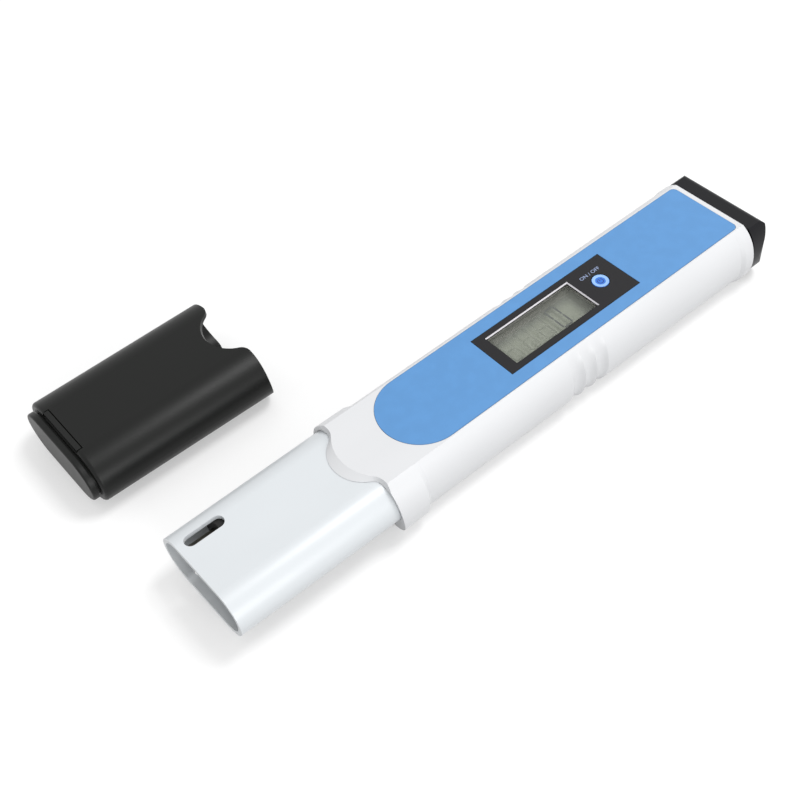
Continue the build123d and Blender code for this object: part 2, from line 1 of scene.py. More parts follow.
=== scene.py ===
"""Looks of the pen-shaped conductivity tester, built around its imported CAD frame.

Lengths are metres in the CAD's own frame: X along the tester to its battery end, Y across it
to the side where the loose cap lies, Z out of the front face, with the floor at zero.
"""

from __future__ import annotations

import json
import logging
import math
from dataclasses import dataclass, field
from enum import Enum
from typing import Iterable, Mapping, Sequence, Union

import bpy
import numpy as np
from mathutils import Matrix, Vector

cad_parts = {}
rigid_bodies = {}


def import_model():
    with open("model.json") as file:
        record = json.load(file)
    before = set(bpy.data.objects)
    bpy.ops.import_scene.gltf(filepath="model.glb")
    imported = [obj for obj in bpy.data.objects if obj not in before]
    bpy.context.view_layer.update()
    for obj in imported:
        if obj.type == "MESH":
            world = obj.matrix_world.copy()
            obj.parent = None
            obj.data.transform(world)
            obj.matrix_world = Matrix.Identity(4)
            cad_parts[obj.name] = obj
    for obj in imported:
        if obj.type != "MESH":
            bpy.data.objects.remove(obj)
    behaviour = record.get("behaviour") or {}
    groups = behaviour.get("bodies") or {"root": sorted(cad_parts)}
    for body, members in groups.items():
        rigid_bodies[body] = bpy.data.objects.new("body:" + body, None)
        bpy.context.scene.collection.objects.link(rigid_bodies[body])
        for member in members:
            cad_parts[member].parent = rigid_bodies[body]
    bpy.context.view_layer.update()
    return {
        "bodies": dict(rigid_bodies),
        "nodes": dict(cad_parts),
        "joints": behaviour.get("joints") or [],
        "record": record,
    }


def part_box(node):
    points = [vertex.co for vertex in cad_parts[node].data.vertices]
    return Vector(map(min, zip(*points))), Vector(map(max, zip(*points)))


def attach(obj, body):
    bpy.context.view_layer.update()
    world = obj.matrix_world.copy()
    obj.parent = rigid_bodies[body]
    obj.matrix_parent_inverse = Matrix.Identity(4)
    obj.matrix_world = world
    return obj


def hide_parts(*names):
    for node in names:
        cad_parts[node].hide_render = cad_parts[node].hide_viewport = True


LOG = logging.getLogger("tester")
MM = 0.001
Number = Union[int, float]
Colour = tuple[float, float, float]


class Body(str, Enum):
    """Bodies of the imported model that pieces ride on."""

    TESTER = "tester"
    BUTTON = "button"
    TRIMMER = "trimmer_rotor"
    BATTERY = "battery_unit"
    CAP = "cap"


class Slot(str, Enum):
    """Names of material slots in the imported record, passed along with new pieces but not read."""

    LABEL = "label_film"
    PANEL = "dark_panel"
    KEY = "button_blue"
    GLASS = "display_glass"
    TRAY = "light_plastic"


class Digit(Enum):
    """Lit segments of a seven-segment digit, named a to g clockwise from the top."""

    ZERO = "abcdef"
    ALL = "abcdefg"


def srgb(red: int, green: int, blue: int) -> Colour:
    """Turn a screen colour of 0 to 255 into linear light.

    Args:
        red: Red as seen on screen.
        green: Green as seen on screen.
        blue: Blue as seen on screen.

    Returns:
        The three linear values, each c/12.92 near black and ((c+0.055)/1.055)^2.4 above.
    """
    values = np.array([red, green, blue]) / 255.0
    linear = np.where(values <= 0.04045, values / 12.92, ((values + 0.055) / 1.055) ** 2.4)
    return tuple(float(value) for value in linear)


class Wire:
    """A value in a material's node tree that Python arithmetic works on."""

    def __init__(self, recipe: Recipe, socket: bpy.types.NodeSocket) -> None:
        """Keep the tree and the output socket that the value comes from."""
        self.recipe = recipe
        self.socket = socket

    def _math(self, operation: str, first: Wire | Number, second: Wire | Number) -> Wire:
        """Add one Math node.

        Args:
            operation: The Math node's operation.
            first: Its first value.
            second: Its second value.

        Returns:
            The node's result.
        """
        node = self.recipe.node(
            "ShaderNodeMath", {"operation": operation}, {0: first, 1: second}
        )
        return Wire(self.recipe, node.outputs[0])

    def __add__(self, other: Wire | Number) -> Wire:
        """Sum."""
        return self._math("ADD", self, other)

    def __radd__(self, other: Number) -> Wire:
        """Sum with a plain number in front."""
        return self._math("ADD", other, self)

    def __sub__(self, other: Wire | Number) -> Wire:
        """Difference."""
        return self._math("SUBTRACT", self, other)

    def __rsub__(self, other: Number) -> Wire:
        """Difference with a plain number in front."""
        return self._math("SUBTRACT", other, self)

    def __mul__(self, other: Wire | Number) -> Wire:
        """Product."""
        return self._math("MULTIPLY", self, other)

    def __rmul__(self, other: Number) -> Wire:
        """Product with a plain number in front."""
        return self._math("MULTIPLY", other, self)

    def __pow__(self, other: Wire | Number) -> Wire:
        """Power."""
        return self._math("POWER", self, other)

    def __abs__(self) -> Wire:
        """Absolute value."""
        return self._math("ABSOLUTE", self, 0.0)

    def __lt__(self, other: Wire | Number) -> Wire:
        """One where the value is the smaller, otherwise nought."""
        return self._math("LESS_THAN", self, other)

    def __gt__(self, other: Wire | Number) -> Wire:
        """One where the value is the larger, otherwise nought."""
        return self._math("GREATER_THAN", self, other)

    def fraction(self) -> Wire:
        """What is left over above the whole number below the value."""
        return self._math("FRACT", self, 0.0)

    def step(self, low: float, high: float) -> Wire:
        """Rise smoothly from nought at low to one at high.

        Args:
            low: Value where the rise begins.
            high: Value where it ends.

        Returns:
            The smooth step.
        """
        node = self.recipe.node(
            "ShaderNodeMapRange",
            {"interpolation_type": "SMOOTHSTEP"},
            {"Value": self, "From Min": low, "From Max": high},
        )
        return Wire(self.recipe, node.outputs[0])


Input = Union[Wire, Number, Sequence[float]]


class Recipe:
    """Node tree of one material or world, with short ways to add what the finishes use."""

    def __init__(self, name: str, surroundings: bool = False) -> None:
        """Start an empty material of that name, or a world if it is for the surroundings."""
        store = bpy.data.worlds if surroundings else bpy.data.materials
        self.owner = store.new(name)
        self.owner.use_nodes = True
        self.tree = self.owner.node_tree
        self.tree.nodes.clear()
        self._place: Wire | None = None

    def node(
        self,
        kind: str,
        settings: Mapping[str, object] | None = None,
        inputs: Mapping[Union[str, int], Input] | None = None,
    ) -> bpy.types.Node:
        """Add any node.

        Args:
            kind: The node's type.
            settings: Properties that are set first.
            inputs: Values or links of its input sockets, by name or number.

        Returns:
            The new node.
        """
        node = self.tree.nodes.new(kind)
        for name, value in (settings or {}).items():
            setattr(node, name, value)
        for key, value in (inputs or {}).items():
            socket = node.inputs[key]
            if isinstance(value, Wire):
                self.tree.links.new(value.socket, socket)
            elif isinstance(value, (int, float)):
                socket.default_value = value
            elif len(value) == 3 and socket.type == "RGBA":
                socket.default_value = (*value, 1.0)
            else:
                socket.default_value = tuple(value)
        return node

    def wire(self, node: bpy.types.Node, output: Union[str, int] = 0) -> Wire:
        """One of a node's outputs."""
        return Wire(self, node.outputs[output])

    def place(self) -> Wire:
        """Object coordinates, which are the CAD's own metres at rest."""
        if self._place is None:
            self._place = self.wire(self.node("ShaderNodeTexCoord"), "Object")
        return self._place

    def axes(self) -> tuple[Wire, Wire, Wire]:
        """The three Object coordinates, one by one."""
        node = self.node("ShaderNodeSeparateXYZ", inputs={"Vector": self.place()})
        return self.wire(node, 0), self.wire(node, 1), self.wire(node, 2)

    def noise(
        self, scale: float, detail: float = 3.0, stretch: Colour = (1.0, 1.0, 1.0)
    ) -> Wire:
        """Noise over Object coordinates, from nought to one.

        Args:
            scale: Lumps in one metre.
            detail: Octaves of finer noise.
            stretch: Share of the scale along each axis.

        Returns:
            The noise's strength.
        """
        mapping = self.node(
            "ShaderNodeMapping", inputs={"Vector": self.place(), "Scale": stretch}
        )
        noise = self.node(
            "ShaderNodeTexNoise",
            inputs={"Vector": self.wire(mapping), "Scale": scale, "Detail": detail},
        )
        return self.wire(noise, 0)

    def blend(self, share: Input, first: Input, second: Input) -> Wire:
        """Mix two colours.

        Args:
            share: Nought for the first colour, one for the second.
            first: First colour.
            second: Second colour.

        Returns:
            The mixed colour.
        """
        node = self.node(
            "ShaderNodeMix",
            {"data_type": "RGBA"},
            {0: share, 6: first, 7: second},
        )
        return self.wire(node, 2)

    def bump(self, height: Wire, depth: float, strength: float = 1.0) -> Wire:
        """Turn a height into a shading normal.

        Args:
            height: Height from nought to one.
            depth: What a height of one stands for, in metres.
            strength: How strongly it tells.

        Returns:
            The normal.
        """
        node = self.node(
            "ShaderNodeBump", inputs={"Height": height, "Distance": depth, "Strength": strength}
        )
        return self.wire(node)

    def surface(self, **sockets: Input) -> bpy.types.Material:
        """Close the tree with one Principled shader.

        Args:
            **sockets: Its inputs, with underscores for the spaces in their names.

        Returns:
            The finished material.
        """
        values = {name.replace("_", " "): value for name, value in sockets.items()}
        shader = self.node("ShaderNodeBsdfPrincipled", inputs=values)
        self.node("ShaderNodeOutputMaterial", inputs={"Surface": self.wire(shader)})
        return self.owner


@dataclass(frozen=True)
class MouldedPlastic:
    """Injection-moulded plastic: fine spark-eroded grain, faint flow marks and handling gloss."""

    name: str
    colour: Colour
    roughness: float = 0.4
    grain: float = 2600.0
    grain_depth: float = 0.00001
    flow: float = 45.0
    flow_stretch: Colour = (0.4, 1.0, 1.0)
    handling: float = 140.0
    handling_share: float = 0.16
    tone: float = 0.06
    specular: float = 0.5

    def material(self) -> bpy.types.Material:
        """Grain feeds the bump; slow noise shifts tone and roughness."""
        recipe = Recipe(self.name)
        grain = recipe.noise(self.grain, 2.0)
        flow = recipe.noise(self.flow, 3.0, self.flow_stretch)
        handled = recipe.noise(self.handling, 4.0)
        darker = tuple(channel * (1.0 - self.tone) for channel in self.colour)
        colour = recipe.blend(flow.step(0.3, 0.75), self.colour, darker)
        roughness = self.roughness + (handled - 0.5) * (self.handling_share * self.roughness)
        normal = recipe.bump(grain * self.grain_depth, 1.0)
        return recipe.surface(
            Base_Color=colour,
            Roughness=roughness,
            Normal=normal,
            Specular_IOR_Level=self.specular,
        )


@dataclass(frozen=True)
class PrintedFilm:
    """Screen-printed satin film with a slight orange peel."""

    name: str
    colour: Colour
    roughness: float = 0.42
    peel_depth: float = 0.000012

    def material(self) -> bpy.types.Material:
        """Even colour with a faint print mottle; peel feeds the bump."""
        recipe = Recipe(self.name)
        peel = recipe.noise(900.0, 2.0)
        mottle = recipe.noise(300.0, 5.0)
        lighter = tuple(min(1.0, channel * 1.05) for channel in self.colour)
        colour = recipe.blend(mottle.step(0.35, 0.7), self.colour, lighter)
        roughness = self.roughness + (mottle - 0.5) * 0.08
        return recipe.surface(
            Base_Color=colour, Roughness=roughness, Normal=recipe.bump(peel, self.peel_depth)
        )


@dataclass(frozen=True)
class WindowPanel:
    """Dark printed panel with a painted highlight past the window's far sides, where the cut edge
    catches the light.
    """

    name: str
    colour: Colour
    painted_highlight_colour: Colour
    window_low: tuple[float, float]
    window_high: tuple[float, float]
    highlight_band_width: float

    def material(self) -> bpy.types.Material:
        """A painted highlight colour shows past the window's far sides, within the highlight band's
        width.
        """
        recipe = Recipe(self.name)
        x, y, _ = recipe.axes()
        middle = [(a + b) / 2 for a, b in zip(self.window_low, self.window_high)]
        half = [(b - a) / 2 + self.highlight_band_width for a, b in zip(self.window_low, self.window_high)]
        # Mask of the painted highlight: a band just outside the window on its far X and Y sides.
        grown = (abs(x - middle[0]) < half[0]) * (abs(y - middle[1]) < half[1])
        far = (x > self.window_high[0]) + (y > self.window_high[1])
        edge = (grown * far) > 0.5
        peel = recipe.noise(1100.0, 2.0)
        # The painted highlight colour is blended into the dark panel where the mask is set.
        colour = recipe.blend(edge, self.colour, self.painted_highlight_colour)
        roughness = 0.38 + (recipe.noise(240.0, 4.0) - 0.5) * 0.1
        return recipe.surface(
            Base_Color=colour,
            Roughness=roughness,
            Specular_IOR_Level=0.3,
            Normal=recipe.bump(peel, 0.000008),
        )


@dataclass(frozen=True)
class Metal:
    """Drawn or turned metal with marks along or round an axis."""

    name: str
    colour: Colour
    roughness: float = 0.3
    stretch: Colour = (0.04, 1.0, 1.0)
    marks: float = 3500.0
    mark_depth: float = 0.000004
    tarnish: Colour = (0.3, 0.27, 0.22)
    tarnish_share: float = 0.25

    def material(self) -> bpy.types.Material:
        """Noise stretched along the draw gives the marks; slow noise gives the tarnish."""
        recipe = Recipe(self.name)
        marks = recipe.noise(self.marks, 2.0, self.stretch)
        spots = recipe.noise(420.0, 5.0).step(0.45, 0.8)
        colour = recipe.blend(spots * self.tarnish_share, self.colour, self.tarnish)
        roughness = self.roughness + (marks - 0.5) * 0.2 + spots * 0.1
        return recipe.surface(
            Base_Color=colour,
            Roughness=roughness,
            Metallic=1.0,
            Normal=recipe.bump(marks, self.mark_depth),
        )


@dataclass(frozen=True)
class CellSteel:
    """Nickel-plated button cell with turned rings on its faces and a dark seal line."""

    name: str
    axis: tuple[float, float]
    seal_radius: float
    seal_width: float = 0.4 * MM
    rings_per_metre: float = 9000.0

    def material(self) -> bpy.types.Material:
        """Distance from the cell's axis drives the rings and the seal's mask."""
        recipe = Recipe(self.name)
        _, y, z = recipe.axes()
        off = ((y - self.axis[0]) ** 2.0 + (z - self.axis[1]) ** 2.0) ** 0.5
        rings = abs((off * self.rings_per_metre).fraction() - 0.5)
        seal = (off > self.seal_radius) * (off < self.seal_radius + self.seal_width)
        stain = recipe.noise(600.0, 4.0).step(0.5, 0.8)
        bright = recipe.blend(stain * 0.3, (0.72, 0.70, 0.66), (0.42, 0.38, 0.32))
        colour = recipe.blend(seal, bright, (0.03, 0.03, 0.03))
        return recipe.surface(
            Base_Color=colour,
            Roughness=0.24 + stain * 0.14 + seal * 0.4,
            Metallic=1.0 - seal,
            Normal=recipe.bump(rings, 0.000003),
        )


@dataclass(frozen=True)
class SolderMask:
    """Green lacquer over copper tracks, with bare fibre at the board's edges."""

    name: str
    low: float
    high: float
    rows_per_metre: float = 800.0
    columns_per_metre: float = 260.0
    skin: float = 0.05 * MM

    def material(self) -> bpy.types.Material:
        """Rows of tracks along X break up where slow noise is low."""
        recipe = Recipe(self.name)
        x, y, z = recipe.axes()
        rows = abs((y * self.rows_per_metre).fraction() - 0.5) < 0.2
        columns = abs((x * self.columns_per_metre).fraction() - 0.5) < 0.1
        broken = recipe.noise(190.0, 1.0) > 0.5
        tracks = (rows * broken + columns * (1.0 - broken)).step(0.0, 1.0)
        skin = (z < self.low + self.skin) + (z > self.high - self.skin)
        lacquer = recipe.blend(tracks, (0.012, 0.11, 0.045), (0.03, 0.2, 0.08))
        colour = recipe.blend(skin.step(0.0, 1.0), (0.42, 0.38, 0.2), lacquer)
        height = tracks + recipe.noise(1500.0, 2.0) * 0.3
        return recipe.surface(
            Base_Color=colour,
            Roughness=0.3 + recipe.noise(300.0, 3.0) * 0.15,
            Normal=recipe.bump(height, 0.00003),
        )


@dataclass(frozen=True)
class LayeredStrip:
    """Elastomer strip of thin dark and pale layers across its length."""

    name: str
    pitch: float = 0.0003

    def material(self) -> bpy.types.Material:
        """Every second layer along X is carbon-filled."""
        recipe = Recipe(self.name)
        x, _, _ = recipe.axes()
        layer = (x * (1.0 / self.pitch)).fraction() > 0.5
        colour = recipe.blend(layer, (0.55, 0.53, 0.5), (0.02, 0.02, 0.02))
        soft = recipe.noise(900.0, 3.0)
        return recipe.surface(
            Base_Color=colour, Roughness=0.6 + soft * 0.2, Normal=recipe.bump(soft, 0.00001)
        )


@dataclass(frozen=True)
class ClearPane:
    """Thin pane of display glass, seen mostly through."""

    name: str
    colour: Colour
    alpha: float
    roughness: float = 0.06

    def material(self) -> bpy.types.Material:
        """Low alpha, with faint smears in the roughness."""
        recipe = Recipe(self.name)
        smear = recipe.noise(90.0, 4.0, (1.0, 0.3, 1.0))
        return recipe.surface(
            Base_Color=self.colour,
            Roughness=self.roughness + smear * 0.06,
            Alpha=self.alpha,
        )


@dataclass(frozen=True)
class Reflector:
    """Grey-green foil behind the display, with a painted shadow next to the window's far edges,
    where the panel's edge and recess shade it.
    """

    name: str
    colour: Colour
    painted_shadow_colour: Colour
    far_x: float
    far_y: float
    reach: float

    def material(self) -> bpy.types.Material:
        """Fine sparkle of the foil, with a painted shadow within reach of the two far edges."""
        recipe = Recipe(self.name)
        x, y, _ = recipe.axes()
        # Painted shadow mask: rises towards the window's far X and Y edges, where the panel's edge
        # shades the foil.
        near_x = x.step(self.far_x - self.reach, self.far_x)
        near_y = y.step(self.far_y - self.reach, self.far_y)
        dark = near_x + near_y - near_x * near_y
        foil = recipe.noise(4000.0, 2.0)
        lighter = tuple(channel * 1.04 for channel in self.colour)
        base = recipe.blend(foil, self.colour, lighter)
        return recipe.surface(
            # The painted shadow colour is blended over the foil where the mask is set.
            Base_Color=recipe.blend(dark, base, self.painted_shadow_colour),
            Roughness=0.5 + foil * 0.15,
            Normal=recipe.bump(foil, 0.000002),
        )


@dataclass(frozen=True)
class Ink:
    """Printed or lit mark with the faint unevenness of its film."""

    name: str
    colour: Colour
    roughness: float = 0.5
    alpha: float = 1.0

    def material(self) -> bpy.types.Material:
        """Film noise shifts the tone a little."""
        recipe = Recipe(self.name)
        film = recipe.noise(2500.0, 3.0)
        darker = tuple(channel * 0.85 for channel in self.colour)
        return recipe.surface(
            Base_Color=recipe.blend(film, self.colour, darker),
            Roughness=self.roughness + film * 0.08,
            Alpha=self.alpha,
        )


class MeshMaker:
    """Puts numpy arrays into Blender meshes."""

    @staticmethod
    def grid(
        name: str, points: np.ndarray, wrap_u: bool = False, wrap_v: bool = False
    ) -> bpy.types.Object:
        """Mesh of quads over a grid of points.

        Args:
            name: The piece's name.
            points: Places of shape (u, v, 3).
            wrap_u: Whether the last row joins the first.
            wrap_v: Whether the last column joins the first.

        Returns:
            The new object, smooth-shaded.
        """
        rows, columns = points.shape[:2]
        index = np.arange(rows * columns).reshape(rows, columns)
        if wrap_u:
            index = np.vstack([index, index[:1]])
        if wrap_v:
            index = np.hstack([index, index[:, :1]])
        quads = np.stack(
            [index[:-1, :-1], index[1:, :-1], index[1:, 1:], index[:-1, 1:]], axis=-1
        )
        return MeshMaker.mesh(name, points.reshape(-1, 3), quads.reshape(-1, 4))

    @staticmethod
    def mesh(name: str, points: np.ndarray, faces: Iterable[Sequence[int]]) -> bpy.types.Object:
        """Mesh of given faces, with doubled points merged and flat faces dropped.

        Args:
            name: The piece's name.
            points: Places of shape (n, 3).
            faces: Corners of each face, counter-clockwise from outside.

        Returns:
            The new object, smooth-shaded.
        """
        places, inverse = np.unique(np.round(points, 8), axis=0, return_inverse=True)
        inverse = inverse.reshape(-1)
        kept = []
        for face in faces:
            ring = list(dict.fromkeys(int(inverse[corner]) for corner in face))
            if len(ring) > 2:
                kept.append(ring)
        data = bpy.data.meshes.new(name)
        data.from_pydata(places.tolist(), [], kept)
        data.validate()
        piece = bpy.data.objects.new(name, data)
        bpy.context.scene.collection.objects.link(piece)
        data.polygons.foreach_set("use_smooth", np.ones(len(data.polygons), bool))
        data.update()
        return piece

    @staticmethod
    def turned(
        name: str, centre: Sequence[float], profile: np.ndarray, sides: int = 96
    ) -> bpy.types.Object:
        """Body of revolution about an upright axis.

        Each point of the profile (radius, height) goes round the axis: x = r cos a and
        y = r sin a, so rows follow the profile and columns follow the angle.

        Args:
            name: The piece's name.
            centre: The axis in plan and the height that the profile counts from.
            profile: Radii and heights from the lower pole to the upper one.
            sides: Points round the axis.

        Returns:
            The new object.
        """
        angle = np.linspace(0.0, 2.0 * math.pi, sides, endpoint=False)
        radius = profile[:, 0][:, None]
        points = np.stack(
            [
                centre[0] + radius * np.cos(angle),
                centre[1] + radius * np.sin(angle),
                centre[2] + profile[:, 1][:, None] + 0.0 * angle,
            ],
            axis=-1,
        )
        return MeshMaker.grid(name, points[::-1], wrap_v=True)

    @staticmethod
    def plates(
        name: str, outlines: Sequence[np.ndarray], low: float, high: float
    ) -> bpy.types.Object:
        """Flat plates of given outlines, as one mesh.

        Args:
            name: The piece's name.
            outlines: Plan points of each plate, counter-clockwise.
            low: Height of the undersides.
            high: Height of the tops.

        Returns:
            The new object, flat-shaded.
        """
        points, faces, start = [], [], 0
        for outline in outlines:
            count = len(outline)
            ring = np.arange(count)
            after = np.roll(ring, -1)
            points.append(np.column_stack([outline, np.full(count, low)]))
            points.append(np.column_stack([outline, np.full(count, high)]))
            walls = np.stack([ring, after, after + count, ring + count], axis=1) + start
            faces.extend(walls.tolist())
            faces.append((ring[::-1] + start).tolist())
            faces.append((ring + count + start).tolist())
            start += 2 * count
        piece = MeshMaker.mesh(name, np.vstack(points), faces)
        flat = np.zeros(len(piece.data.polygons), bool)
        piece.data.polygons.foreach_set("use_smooth", flat)
        return piece


@dataclass
class SubAssembly:
    """Pieces that are built and dressed together on one body."""

    frame: Mapping[str, object]
    pieces: list[str] = field(default_factory=list)

    def dress(self, node: str, finish: object) -> bpy.types.Object:
        """Give a CAD node its finish.

        Args:
            node: The node's name.
            finish: A finish with a material method.

        Returns:
            The node's object.
        """
        piece = self.frame["nodes"][node]
        self.paint(piece, finish)
        self.pieces.append(node)
        return piece

    def paint(self, piece: bpy.types.Object, finish: object) -> None:
        """Make a finish the piece's only material."""
        piece.data.materials.clear()
        piece.data.materials.append(finish.material())

    def add(
        self, piece: bpy.types.Object, finish: object, body: Body, slot: Slot | None = None
    ) -> bpy.types.Object:
        """Dress a new piece and let it ride.

        Args:
            piece: The new object.
            finish: Its finish.
            body: The body it moves with.
            slot: Not used.

        Returns:
            The same object.
        """
        self.paint(piece, finish)
        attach(piece, body.value)
        self.pieces.append(piece.name)
        return piece


@dataclass
class Shell(SubAssembly):
    """White housing, probe sleeve and what closes them."""

    white: Colour = srgb(204, 205, 207)
    sleeve_white: Colour = srgb(200, 204, 207)
    black: Colour = srgb(26, 26, 29)

    def build(self) -> None:
        """Dress the moulded parts."""
        self.dress("housing", MouldedPlastic("housing_white", self.white, roughness=0.36))
        sleeve = MouldedPlastic("sleeve_white", self.sleeve_white, roughness=0.3)
        self.dress("probe_sleeve", sleeve)
        self.dress("sleeve_gasket", MouldedPlastic("gasket_rubber", self.black, roughness=0.75))


@dataclass
class Probe(SubAssembly):
    """Electrodes, sensor and the block that holds them."""

    def build(self) -> None:
        """Dress the probe's parts."""
        block = MouldedPlastic("block_black", srgb(28, 27, 26), roughness=0.5, specular=0.3)
        self.dress("electrode_block", block)
        rods = Metal("rod_metal", srgb(150, 143, 132), roughness=0.32, tarnish_share=0.4)
        self.dress("electrode_rods", rods)
        self.dress("temperature_sensor", Metal("sensor_steel", srgb(196, 196, 194), roughness=0.22))
        self.dress("probe_clips", Metal("clip_bronze", srgb(214, 190, 140), roughness=0.28))


@dataclass
class Front(SubAssembly):
    """Label, panel and display with their printed marks."""

    label_blue: Colour = srgb(77, 131, 184)
    panel_dark: Colour = srgb(14, 13, 17)
    # Colour of the painted highlight along the window's far edges, where light catches the cut
    # edge.
    painted_edge_highlight: Colour = srgb(196, 194, 198)
    window_low: tuple[float, float] = (3.2 * MM, -4.8 * MM)
    window_high: tuple[float, float] = (28.3 * MM, 4.8 * MM)
    # Width of the painted highlight band past the window's far edges.
    highlight_band_width: float = 0.27 * MM
    crystal_height: float = 14.7 * MM
    mark_thickness: float = 0.02 * MM
    digit_starts: tuple[float, ...] = (4.4 * MM, 9.3 * MM, 14.2 * MM, 19.2 * MM)
    digit_low: float = -3.55 * MM
    digit_width: float = 3.15 * MM
    digit_height: float = 7.1 * MM
    stroke: float = 0.48 * MM
    words_start: tuple[float, float] = (31.15 * MM, 2.85 * MM)
    words_height: float = 0.95 * MM
    words_length: float = 6.1 * MM

    def digit(self, start: float, shown: Digit) -> list[np.ndarray]:
        """Outlines of a digit's lit segments.

        Each segment is a long hexagon between two of the digit's six corners: its ends are
        pointed by half a stroke, and it stops a small gap short of the corner.

        Args:
            start: The digit's left edge along X.
            shown: Which segments are lit.

        Returns:
            One outline for each lit segment.
        """
        half = self.stroke / 2
        left, right = start + half, start + self.digit_width - half
        low, high = self.digit_low + half, self.digit_low + self.digit_height - half
        middle = (low + high) / 2
        ends = {
            "a": ((left, high), (right, high)),
            "b": ((right, high), (right, middle)),
            "c": ((right, middle), (right, low)),
            "d": ((left, low), (right, low)),
            "e": ((left, middle), (left, low)),
            "f": ((left, high), (left, middle)),
            "g": ((left, middle), (right, middle)),
        }
        outlines = []
        for name in shown.value:
            first, last = (np.array(point) for point in ends[name])
            along = (last - first) / np.linalg.norm(last - first)
            across = np.array([-along[1], along[0]]) * half
            gap = along * half * 0.25
            near, far = first + gap, last - gap
            outline = [
                near,
                near + along * half - across,
                far - along * half - across,
                far,
                far - along * half + across,
                near + along * half + across,
            ]
            outlines.append(np.array(outline))
        return outlines

    def words(self) -> bpy.types.Object:
        """Small switch lettering beside the key, turned from text into a mesh."""
        curve = bpy.data.curves.new("switch_words", "FONT")
        curve.body = "ON / OFF"
        curve.size = 1.0
        curve.extrude = 0.0
        temporary = bpy.data.objects.new("switch_words_text", curve)
        bpy.context.scene.collection.objects.link(temporary)
        bpy.context.view_layer.update()
        data = bpy.data.meshes.new_from_object(temporary)
        bpy.data.objects.remove(temporary)
        points = np.zeros(len(data.vertices) * 3, np.float32)
        data.vertices.foreach_get("co", points)
        points = points.reshape(-1, 3)
        low, high = points.min(0), points.max(0)
        points[:, 0] = (points[:, 0] - low[0]) / (high[0] - low[0]) * self.words_length
        points[:, 1] = (points[:, 1] - low[1]) / (high[1] - low[1]) * self.words_height
        points[:, 0] += self.words_start[0]
        points[:, 1] += self.words_start[1]
        points[:, 2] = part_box("display_panel")[1].z + self.mark_thickness
        data.vertices.foreach_set("co", points.ravel())
        data.update()
        data.name = "switch_words"
        piece = bpy.data.objects.new("switch_words", data)
        bpy.context.scene.collection.objects.link(piece)
        return piece

    def build(self) -> None:
        """Dress the label, panel and glass, and print the marks."""
        self.dress("front_label", PrintedFilm("label_blue", self.label_blue))
        panel = WindowPanel(
            "panel_dark",
            self.panel_dark,
            self.painted_edge_highlight,
            self.window_low,
            self.window_high,
            self.highlight_band_width,
        )
        self.dress("display_panel", panel)
        self.dress("display_front_glass", ClearPane("front_glass", (0.5, 0.52, 0.46), 0.12))
        self.dress("display_rear_glass", ClearPane("rear_glass", (0.42, 0.45, 0.38), 0.15))
        foil = Reflector(
            "reflector_foil",
            srgb(146, 151, 137),
            # Painted shadow colour next to the window's far edges, where the panel's edge shades
            # the foil.
            srgb(98, 101, 97),
            self.window_high[0],
            self.window_high[1] - 0.4 * MM,
            3.2 * MM,
        )
        self.dress("display_reflector", foil)
        self.dress("display_frame", MouldedPlastic("frame_plastic", srgb(208, 206, 200)))
        self.dress("zebra_strips", LayeredStrip("strip_layers"))
        low = self.crystal_height
        lit = self.digit(self.digit_starts[-1], Digit.ZERO)
        digits = MeshMaker.plates("display_digit", lit, low, low + self.mark_thickness)
        self.add(digits, Ink("crystal_dark", srgb(66, 70, 70)), Body.TESTER, Slot.GLASS)
        idle = [part for start in self.digit_starts[:-1] for part in self.digit(start, Digit.ALL)]
        ghosts = MeshMaker.plates("display_idle_segments", idle, low, low + self.mark_thickness)
        faint = Ink("crystal_idle", srgb(108, 112, 103), alpha=0.12)
        self.add(ghosts, faint, Body.TESTER, Slot.GLASS)
        light_ink = Ink("words_ink", srgb(150, 165, 200))
        self.add(self.words(), light_ink, Body.TESTER, Slot.PANEL)


